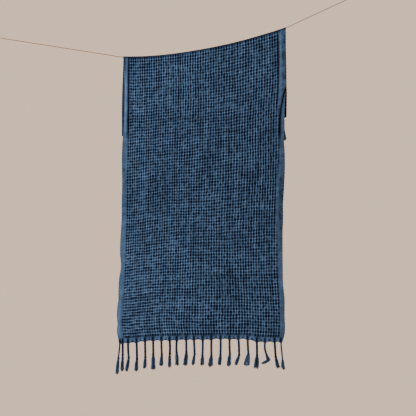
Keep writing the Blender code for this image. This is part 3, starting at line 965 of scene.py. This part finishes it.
def grid_corners(grid):
    """The four corners of each of a grid's squares, row by row."""
    corners = (grid[:-1, :-1], grid[:-1, 1:], grid[1:, 1:], grid[1:, :-1])
    return np.stack(corners, axis=2).reshape(-1, 4, *grid.shape[2:])


def rim_quads(one, other):
    """Quads that close the sides and ends between the two faces' grids of point numbers."""
    quads = []
    for a, b in (
        (one[::-1, 0], other[::-1, 0]),
        (one[:, -1], other[:, -1]),
        (one[0, :], other[0, :]),
        (one[-1, ::-1], other[-1, ::-1]),
    ):
        quads.append(np.stack((a[1:], a[:-1], b[:-1], b[1:]), axis=1))
    return np.concatenate(quads)


def new_piece(name, points, faces, material):
    mesh_data = bpy.data.meshes.new(name)
    mesh_data.from_pydata(points.tolist(), [], faces)
    mesh_data.materials.append(material)
    mesh_data.update()
    mesh_data.shade_smooth()
    piece = bpy.data.objects.new(name, mesh_data)
    bpy.context.scene.collection.objects.link(piece)
    return piece


def set_attribute(mesh_data, name, values):
    attribute = mesh_data.attributes.new(name, "FLOAT", "POINT")
    attribute.data.foreach_set("value", np.asarray(values, dtype=np.float32).ravel())


def set_map(mesh_data, name, places):
    """A UV map, from a place for each corner of each face."""
    layer = mesh_data.uv_layers.new(name=name)
    layer.data.foreach_set("uv", np.asarray(places, dtype=np.float32).ravel())


def set_weave_map(mesh_data, places):
    """A UV map that counts waffle cells, from each point's column and row."""
    corners = np.empty(len(mesh_data.loops), dtype=np.int32)
    mesh_data.loops.foreach_get("vertex_index", corners)
    set_map(mesh_data, "weave", places[corners])


def make_cloth(material, front_roots, back_roots):
    """The cloth's three stretches, which meet along rows of cells."""
    columns = column_lines()
    rows = row_lines()
    faces = cloth_faces(columns, rows, front_roots, back_roots)
    normals = [outward(face[0]) * away for face, away in zip(faces, (1.0, -1.0))]
    column, row = np.meshgrid(columns, rows)
    pieces = []
    for name, low, high in CLOTH_STRETCHES:
        part = slice(int(np.searchsorted(rows, low)), int(np.searchsorted(rows, high)) + 1)
        count = len(rows[part])
        one = np.arange(count * len(columns)).reshape(count, len(columns))
        other = one + one.size
        points = np.concatenate([face[0][part].reshape(-1, 3) for face in faces])
        quads = np.concatenate(
            (
                grid_corners(one),
                grid_corners(other)[:, ::-1],
                rim_quads(one, other),
            )
        )
        piece = new_piece(name, points, quads.tolist(), material)
        mesh_data = piece.data
        for which, attribute in enumerate(("hollow", "plain", "tone", "fan", "gathered"), start=1):
            values = np.concatenate([face[which][part].ravel() for face in faces])
            set_attribute(mesh_data, attribute, values)
        here = np.stack((column[part].ravel(), row[part].ravel()), axis=1)
        set_weave_map(mesh_data, np.concatenate((here, here + 0.5)))
        shared = np.concatenate([normal[part].reshape(-1, 3) for normal in normals])
        mesh_data.normals_split_custom_set_from_vertices(shared.tolist())
        pieces.append(piece)
    return pieces


def frames_along(line):
    """Unit directions along a line of points and two across it that don't twist."""
    ahead = np.gradient(line, axis=0)
    ahead /= np.linalg.norm(ahead, axis=1, keepdims=True)
    side = np.empty_like(line)
    start = np.array((0.0, 1.0, 0.0)) if abs(ahead[0, 1]) < 0.9 else np.array((1.0, 0.0, 0.0))
    for index, direction in enumerate(ahead):
        start = start - direction * (start @ direction)
        start = start / np.linalg.norm(start)
        side[index] = start
    return ahead, side, np.cross(ahead, side)


def lengths_along(line):
    """How far along a line of points each point is."""
    steps = np.linalg.norm(np.diff(line, axis=0), axis=1)
    return np.concatenate(([0.0], np.cumsum(steps)))


class Strands:
    """Collects round strands into one mesh."""

    def __init__(self):
        self.points = []
        self.faces = []
        self.maps = []
        self.tones = []

    def add(self, line, radii, sides, tone=0.5, closed=False):
        """A round strand along a line of points, with a radius at each."""
        line = np.asarray(line, dtype=float)
        radii = np.broadcast_to(np.asarray(radii, dtype=float), (len(line),))
        _, side, up = frames_along(line)
        angles = np.linspace(0.0, 2 * math.pi, sides, endpoint=False)
        ring = np.cos(angles)[:, None, None] * side + np.sin(angles)[:, None, None] * up
        rings = line[None] + ring * radii[None, :, None]
        first = sum(len(points) for points in self.points)
        self.points.append(rings.transpose(1, 0, 2).reshape(-1, 3))
        lengths = lengths_along(line) * 1000
        numbers = first + np.arange(len(line) * sides).reshape(-1, sides)
        around = np.pad(numbers, ((0, int(closed)), (0, 1)), mode="wrap")
        self.faces += grid_corners(around).tolist()
        if closed:
            lengths = np.append(lengths, lengths[-1] + lengths[1])
        places = np.meshgrid(lengths, np.linspace(0.0, 1.0, sides + 1), indexing="ij")
        self.maps += grid_corners(np.stack(places, axis=-1)).reshape(-1, 2).tolist()
        if not closed:
            self.faces += [numbers[0, ::-1].tolist(), numbers[-1].tolist()]
            self.maps += [(0.0, 0.0)] * sides + [(lengths[-1], 0.0)] * sides
        self.tones.append(np.broadcast_to(tone, (len(line),)).repeat(sides))

    def finish(self, name, material):
        piece = new_piece(name, np.concatenate(self.points), self.faces, material)
        set_map(piece.data, "strand", self.maps)
        set_attribute(piece.data, "tone", np.concatenate(self.tones))
        return piece


def resample(line, spacing):
    """The same line of points, evenly spaced."""
    line = np.asarray(line, dtype=float)
    lengths = lengths_along(line)
    places = np.linspace(0.0, lengths[-1], max(3, int(round(lengths[-1] / spacing)) + 1))
    return np.stack([np.interp(places, lengths, line[:, axis]) for axis in range(3)], axis=1)


def add_twisted(strands, line, plies, ply_radius, offset, turn_length, sides, tone):
    """Plies laid round each other along an evenly spaced line."""
    _, side, up = frames_along(line)
    lengths = lengths_along(line)
    for ply in range(plies):
        angle = 2 * math.pi * (lengths / turn_length + ply / plies)
        away = np.cos(angle)[:, None] * side + np.sin(angle)[:, None] * up
        strands.add(line + away * offset, ply_radius, sides, tone)


def line_path():
    """The string's middle line, from inside the left loop's knot to inside the right one's."""
    reach = LOOP_REACH + KNOT_HALF_LENGTH * KNOT_COVER
    first, last = LINE_ROUTE[0][0], LINE_ROUTE[-1][0]
    start = first + reach * math.cos(line_slope(first + reach))
    end = last - reach * math.cos(line_slope(last - reach))
    places = np.linspace(start, end, 400)
    return np.stack((places, np.zeros_like(places), line_height(places)), axis=1)


def add_string(strands, line):
    """Twisted string along a line of points."""
    line = resample(line, STRING_STEP)
    add_twisted(
        strands, line, STRING_PLIES, STRING_PLY, STRING_PLY, STRING_TURN, 5, STRING_TONE
    )


def make_line(material):
    strands = Strands()
    path = line_path()
    add_string(strands, path)
    return strands.finish("string_line", material), path


def make_loop(name, middle, towards, material):
    """A string end tied in a drop-shaped loop, its tail wound round the string as a knot."""
    strands = Strands()
    turn = np.array(
        (
            (math.cos(towards), 0.0, -math.sin(towards)),
            (0.0, 1.0, 0.0),
            (math.sin(towards), 0.0, math.cos(towards)),
        )
    )
    angles = np.linspace(LOOP_OPENING, 2 * math.pi - LOOP_OPENING, 90)
    width = LOOP_REACH * np.sin(angles) * np.sin(angles / 2) ** LOOP_PINCH
    ring = np.stack((LOOP_REACH * np.cos(angles), 0.0 * angles, width), axis=1)
    add_string(strands, ring @ turn.T + middle)
    winds = np.linspace(0.0, 1.0, 64)
    wind_angle = 2 * math.pi * TIE_TURNS * winds
    wound = TIE_RADIUS - TIE_TUCK * ease(np.abs(winds - 0.5), 0.42, 0.5)
    coil = np.stack(
        (
            LOOP_REACH + KNOT_HALF_LENGTH * TIE_STRETCH * (winds - 0.5),
            wound * np.cos(wind_angle),
            wound * np.sin(wind_angle),
        ),
        axis=1,
    )
    strands.add(coil @ turn.T + middle, TIE_STRING, 8, TIE_TONE)
    return strands.finish(name, material)


def knot_line(centre):
    """A closed overhand knot round a tassel's cord, which runs down through it."""
    turns = np.linspace(0.0, 2 * math.pi, 40, endpoint=False)
    across = (np.sin(turns) + 2 * np.sin(2 * turns)) / 3 * KNOT_WRAP
    depth = (np.cos(turns) - 2 * np.cos(2 * turns)) / 3 * KNOT_WRAP
    rise = -np.sin(3 * turns) * KNOT_RISE
    return centre + np.stack((across, depth, rise), axis=1)


def add_tassel(strands, root, row, chance):
    """A twisted cord down to a knot, and the yarns of the tuft below it."""
    lengths = [mm / 1000 for mm in row[1:-1]]
    knot_drop, knot_shift, tip_drop, tip_shift, spread, bend, sway = lengths
    thickness = row[-1]
    root = np.asarray(root)
    knot = root + np.array((knot_shift, 0.0, -knot_drop))
    tip = root + np.array((tip_shift, 0.0, -tip_drop - TUFT_EXTRA))
    start = root + np.array((0.0, 0.0, ROOT_DEPTH))
    share = np.linspace(0.0, 1.0, 60)[:, None]
    aside, back = CORD_SWAY
    swing = np.array((sway + chance.uniform(-aside, aside), chance.uniform(-back, back), 0.0))
    cord = start + (knot - start) * share + np.sin(math.pi * share) * swing
    tone = chance.uniform(*CORD_TONES) + (1 - thickness) * THIN_PALER
    # Painted light and shade on the locks, lightest on the left unless turned round by chance
    tones = LOCK_PAINTED_LIGHT if chance.random() < TONES_KEPT else LOCK_PAINTED_LIGHT[::-1]
    turn = PLY_TURN * chance.uniform(*TURN_CHANGE)
    cord = resample(cord, turn / CORD_STEPS)
    radius, offset = PLY_RADIUS * thickness, PLY_OFFSET * thickness
    add_twisted(strands, cord, 2, radius, offset, turn, 7, tone)
    strands.add(knot_line(knot), KNOT_YARN, 7, tone * KNOT_TONE, closed=True)
    fluffy = row[5] > FLUFFY_SPREAD
    for lock in range(LOCKS):
        side = lock - (LOCKS - 1) / 2
        nearer = LOCK_NEARER * (0.5 - lock % 2)
        reach = FLUFFY_REACH if fluffy else LOCK_REACH
        fan = np.array((side * spread * reach, nearer, 0.0))
        top = knot + fan * LOCK_START
        end = tip + fan + np.array((0.0, 0.0, abs(side) * SIDE_LOCK_RISE))
        belly = fan * LOCK_BOW + np.array((bend, 0.0, 0.0))
        thin = side == 0 and row[5] > WIDE_SPREAD and not fluffy
        paler = tones[lock] + THIN_PALER * thin
        fluff = FLUFFY_ROUND if fluffy else 1.0
        for _ in range(THIN_LOCK_YARNS if thin else YARNS_PER_LOCK):
            add_yarn(strands, top, end, belly, tone + paler, chance, fluff)


def tuft_line(top, end, belly, share):
    """A yarn's middle line from the knot to its end, bowed, or folded where bent sharply."""
    if belly[0] > SHARP_BEND / 1000:
        corner = top + (end - top) * FOLD_SHARE + belly
        places = (0.0, FOLD_SHARE - FOLD_START, FOLD_SHARE, 1.0)
        corners = np.stack((top, corner + (top - corner) * FOLD_PULL, corner, end))
        return np.stack([np.interp(share[:, 0], places, corners[:, axis]) for axis in range(3)], 1)
    middle = top + (end - top) * BOW_PLACE + belly
    return (1 - share) ** 2 * top + 2 * share * (1 - share) * middle + share**2 * end


def add_yarn(strands, top, end, belly, tone, chance, fluff):
    """One loose yarn of a tuft, a little wavy, near its lock's line from top to end."""
    turn = chance.uniform(0.0, 2 * math.pi)
    wide = math.sqrt(chance.uniform(0.0, 1.0))
    around = np.array((math.cos(turn), math.sin(turn), 0.0)) * wide
    share = np.linspace(0.0, 1.0, YARN_POINTS)[:, None]
    reach = end + np.array((0.0, 0.0, chance.uniform(*YARN_ENDS)))
    line = tuft_line(top, reach, belly, share)
    fullness = ease(share, 0.0, 0.32)
    at_knot, full, at_end = LOCK_ROUND
    line = line + around * (at_knot + (full * fullness + at_end * share**2) * fluff)
    wave_turn = chance.uniform(0.0, 2 * math.pi)
    wave = np.sin(share[:, 0] * chance.uniform(*YARN_WAVE_TURNS) + wave_turn) * share[:, 0]
    line[:, 0] += wave * YARN_WAVE[0]
    line[:, 1] += np.cos(share[:, 0] * 7.0 + wave_turn) * share[:, 0] * YARN_WAVE[1]
    taper = np.linspace(1.0, YARN_TAPER, YARN_POINTS)
    radii = YARN_RADIUS * taper * chance.uniform(*YARN_SIZES)
    # Random tone, with painted light on the yarns at a lock's sides
    paler = chance.uniform(*YARN_TONES) + YARN_PAINTED_LIGHT_OUTSIDE * abs(around[0])
    tones = tone + paler + YARN_PALE_END * share[:, 0] ** 2
    strands.add(line, radii, 4, np.clip(tones, 0.0, 1.0))


def root_points(panel, hem, tassels):
    """Where each tassel leaves the hem."""
    left = smooth_table(panel, 1, np.array(1.0))
    right = FOLD_WIDTH + smooth_table(panel, 2, np.array(1.0))
    roots = np.array([row[0] / 1000 for row in tassels])
    share = (roots - left) / (right - left)
    points = panel_points(panel, hem, share, np.ones_like(share))
    if panel is FRONT_PANEL:
        points[:, 2] -= stray(FRONT_HEM_STRAY, roots * 1000)
    return points


def make_fringe(name, panel, hem, tassels, material, seed):
    strands = Strands()
    chance = random.Random(seed)
    for root, row in zip(root_points(panel, hem, tassels), tassels):
        add_tassel(strands, root, row, chance)
    return strands.finish(name, material)


def back_tassels():
    chance = random.Random(BACK_SEED)
    spacing = (BACK_LAST_ROOT - BACK_FIRST_ROOT) / (BACK_TASSEL_COUNT - 1)
    rows = []
    for number in range(BACK_TASSEL_COUNT - 1):
        change = chance.uniform(-BACK_ROOT_CHANGE, BACK_ROOT_CHANGE)
        root = BACK_FIRST_ROOT + number * spacing + change
        shape = [chance.uniform(least, most) for least, most in BACK_SHAPES]
        rows.append((root, *shape, 0.0, chance.uniform(-BACK_SWAY, BACK_SWAY), 1.0))
    return rows + [BACK_LAST_TASSEL]


class Finish:
    """A procedural material: a Principled shader and the nodes that feed it."""

    def __init__(self, name, roughness, sheen, tint=PALE_SHEEN):
        self.material = bpy.data.materials.new(name)
        self.material.use_nodes = True
        self.tree = self.material.node_tree
        self.shader = self.tree.nodes["Principled BSDF"]
        looks = {"Roughness": roughness, "Sheen Weight": sheen, "Sheen Tint": tint}
        for key, value in (looks | DULL_YARN).items():
            self.shader.inputs[key].default_value = value

    def node(self, kind, inputs=(), **settings):
        made = self.tree.nodes.new(kind)
        for name, value in settings.items():
            setattr(made, name, value)
        for key, value in dict(inputs).items():
            if isinstance(value, bpy.types.NodeSocket):
                self.tree.links.new(value, made.inputs[key])
            else:
                made.inputs[key].default_value = value
        return made

    def maths(self, operation, one, two=0.0):
        return self.node("ShaderNodeMath", {0: one, 1: two}, operation=operation).outputs[0]

    def times(self, one, two):
        return self.maths("MULTIPLY", one, two)

    def scale_add(self, value, factor, offset):
        inputs = {0: value, 1: factor, 2: offset}
        return self.node("ShaderNodeMath", inputs, operation="MULTIPLY_ADD").outputs[0]

    def mix(self, share, one, two):
        inputs = {0: share, 6: one, 7: two}
        return self.node("ShaderNodeMix", inputs, data_type="RGBA").outputs[2]

    def scaled(self, colour, level):
        inputs = {0: colour, "Scale": level}
        return self.node("ShaderNodeVectorMath", inputs, operation="SCALE").outputs[0]

    def attribute(self, name):
        return self.node("ShaderNodeAttribute", attribute_name=name).outputs["Fac"]

    def noise(self, vector, scale, detail, roughness=0.55):
        inputs = {"Vector": vector, "Scale": scale, "Detail": detail, "Roughness": roughness}
        return self.node("ShaderNodeTexNoise", inputs).outputs["Fac"]

    def bump(self, height, strength, distance):
        inputs = {"Strength": strength, "Distance": distance, "Height": height}
        normal = self.node("ShaderNodeBump", inputs).outputs["Normal"]
        self.tree.links.new(normal, self.shader.inputs["Normal"])

    def colour(self, socket):
        self.tree.links.new(socket, self.shader.inputs["Base Color"])


def waffle_cotton():
    """Dyed cotton waffle: light rims, painted shade in the hollows, yarns along the rims, plain
    bands, and painted light and shade from the tone attribute and the pleats.
    """
    finish = Finish("waffle_cotton_finish", 0.9, SHEEN, BLUE_SHEEN)
    weave = finish.node("ShaderNodeUVMap", uv_map="weave").outputs["UV"]
    split = finish.node("ShaderNodeSeparateXYZ", {0: weave})
    column, row = split.outputs[0], split.outputs[1]
    hollow = finish.attribute("hollow")
    plain = finish.attribute("plain")
    place = finish.node("ShaderNodeTexCoord").outputs["Object"]
    to_column = finish.maths("PINGPONG", column, 0.5)
    to_row = finish.maths("PINGPONG", row, 0.5)
    on_column = finish.maths("LESS_THAN", to_column, to_row)
    warp = finish.maths("SINE", finish.times(column, 2 * math.pi * WARP_YARNS))
    weft = finish.maths("SINE", finish.times(row, 2 * math.pi * WEFT_YARNS))
    yarns = finish.node("ShaderNodeMix", {0: on_column, 2: weft, 3: warp}).outputs[0]
    both = finish.times(warp, weft)
    threads = finish.node("ShaderNodeMix", {0: plain, 2: yarns, 3: both}).outputs[0]
    blotch = finish.noise(place, *BLOTCH)
    fuzz = finish.noise(place, *FUZZ)
    # Painted shade: the hollow attribute darkens the rims' colour into the near-black pit shade
    deep = finish.maths("POWER", hollow, PIT_CURVE)
    waffle = finish.mix(deep, CROSSING_COLOUR, PAINTED_PIT_SHADE)
    cloth = finish.mix(plain, waffle, finish.mix(blotch, *BAND_COLOURS))
    worn = finish.scale_add(blotch, *WORN_LEVEL)
    lit = finish.scale_add(threads, *THREAD_LEVEL)
    fuzzy = finish.scale_add(fuzz, *FUZZ_LEVEL)
    level = finish.times(finish.times(worn, lit), fuzzy)
    # The tone attribute carries painted light and shade over the bands, grooves, crease, fold,
    # gathers and covered faces, falling off to the right, with the yarns' random streaks
    level = finish.times(level, finish.attribute("tone"))
    # Painted light and shade of the fine pleats, which also bump the surface
    pleat = finish.times(finish.attribute("fan"), 2 * math.pi / FAN_PLEAT)
    pleat = finish.times(finish.maths("COSINE", pleat), finish.attribute("gathered"))
    level = finish.times(level, finish.scale_add(pleat, *FAN_PAINTED_SHADE))
    dyed = {0: finish.scaled(cloth, level), 1: UNDER_COLOUR}
    finish.colour(finish.node("ShaderNodeVectorMath", dyed, operation="ADD").outputs[0])
    height = finish.maths("ADD", finish.times(threads, THREAD_BUMP), fuzz)
    height = finish.maths("ADD", height, finish.times(pleat, FAN_BUMP))
    finish.bump(height, *CLOTH_BUMP)
    return finish.material


def yarn_finish(name, dark, light, roughness, sheen_tint):
    """Twisted yarn: slanting fibres along each strand, dark to light by the strand's tone, which
    on the tufts holds painted light and shade.
    """
    finish = Finish(name, roughness, SHEEN, sheen_tint)
    strand = finish.node("ShaderNodeUVMap", uv_map="strand").outputs["UV"]
    split = finish.node("ShaderNodeSeparateXYZ", {0: strand})
    slant = finish.times(split.outputs[0], FIBRES_ALONG)
    turned = finish.times(split.outputs[1], FIBRES_ROUND)
    fibres = finish.maths("SINE", finish.times(finish.maths("ADD", slant, turned), 2 * math.pi))
    place = finish.node("ShaderNodeTexCoord").outputs["Object"]
    fuzz = finish.noise(place, *YARN_FUZZ)
    blotch = finish.noise(place, *YARN_BLOTCH)
    tone = finish.maths("ADD", finish.attribute("tone"), finish.times(fibres, FIBRE_STRIPE))
    tone = finish.maths("ADD", tone, finish.scale_add(blotch, *YARN_BLOTCH_LEVEL))
    cloth = finish.mix(tone, dark, light)
    finish.colour(finish.scaled(cloth, finish.scale_add(fuzz, *YARN_FUZZ_LEVEL)))
    finish.bump(finish.maths("ADD", finish.times(fibres, THREAD_BUMP), fuzz), *YARN_BUMP)
    return finish.material


def make_camera():
    lens = SENSOR_WIDTH * CAMERA_DISTANCE / VIEW_WIDTH
    bpy.ops.object.camera_add(
        location=(VIEW_MIDDLE[0], -CAMERA_DISTANCE, VIEW_MIDDLE[1]),
        rotation=(math.pi / 2, 0.0, 0.0),
    )
    camera = bpy.context.object
    camera.data.sensor_width = SENSOR_WIDTH
    camera.data.lens = lens
    bpy.context.scene.camera = camera


def plain_finish(name, colour, roughness):
    finish = Finish(name, roughness, 0.0)
    place = finish.node("ShaderNodeTexCoord").outputs["Object"]
    cloudy = finish.noise(place, 2.0, 2.0)
    light = tuple(min(value * 1.03, 1.0) for value in colour)
    finish.colour(finish.mix(cloudy, (*colour, 1.0), (*light, 1.0)))
    return finish.material


def make_stage():
    """Pale floor, pale room light, a soft main light from the left and a weak one behind."""
    bpy.ops.mesh.primitive_plane_add(size=1.0, location=FLOOR_PLACE)
    floor = bpy.context.object
    floor.name = "floor"
    floor.scale = FLOOR_SIZE
    floor.data.materials.append(plain_finish("floor_finish", FLOOR_COLOUR, 0.9))
    world = bpy.data.worlds.new("pale_room")
    world.use_nodes = True
    background = world.node_tree.nodes["Background"]
    background.inputs["Color"].default_value = ROOM_COLOUR
    background.inputs["Strength"].default_value = 1.0
    bpy.context.scene.world = world
    for row in LIGHTS:
        add_light(*row)


def add_light(name, place, power, size):
    bpy.ops.object.light_add(type="AREA", location=place)
    light = bpy.context.object
    light.name = name
    light.data.energy = power
    light.data.size = size
    away = np.array(place) - np.array(LIGHT_TARGET)
    flat = math.hypot(away[0], away[1])
    light.rotation_euler = (
        math.atan2(flat, away[2]),
        0.0,
        math.atan2(away[1], away[0]) + math.pi / 2,
    )


def finish_piece(piece, slot, *nodes):
    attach(piece, "root")
    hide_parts(*nodes)


def main():
    bpy.ops.object.select_all(action="DESELECT")
    make_camera()
    string = yarn_finish("string_finish", *STRING_COLOURS, 0.85, PALE_SHEEN)
    line, path = make_line(string)
    finish_piece(line, "string", "line")
    loops = []
    for side, (along, height), inwards, half_turn in LOOP_ENDS:
        turn = float(line_slope(along + inwards * LOOP_REACH)) + half_turn
        end = np.array((along, 0.0, height))
        loops.append(make_loop(side + "_string_loop", end, turn, string))
        finish_piece(loops[-1], "string", side + "_loop")
    fringe = yarn_finish("fringe_cotton_finish", *FRINGE_COLOURS, 0.9, BLUE_SHEEN)
    back_rows = back_tassels()
    on_front = ("front_tassels", FRONT_PANEL, FRONT_HEM, FRONT_TASSELS)
    front = make_fringe(*on_front, fringe, FRINGE_SEEDS[0])
    on_back = ("back_tassels", BACK_PANEL, BACK_HEM, back_rows)
    back = make_fringe(*on_back, fringe, FRINGE_SEEDS[1])
    finish_piece(front, "fringe_cotton", "front_fringe")
    finish_piece(back, "fringe_cotton", "back_fringe")
    cotton = waffle_cotton()
    low, middle, over = make_cloth(cotton, tassel_roots(FRONT_TASSELS), tassel_roots(back_rows))
    for piece in (low, middle, over):
        finish_piece(piece, "waffle_cotton", "towel")
    make_stage()


main()
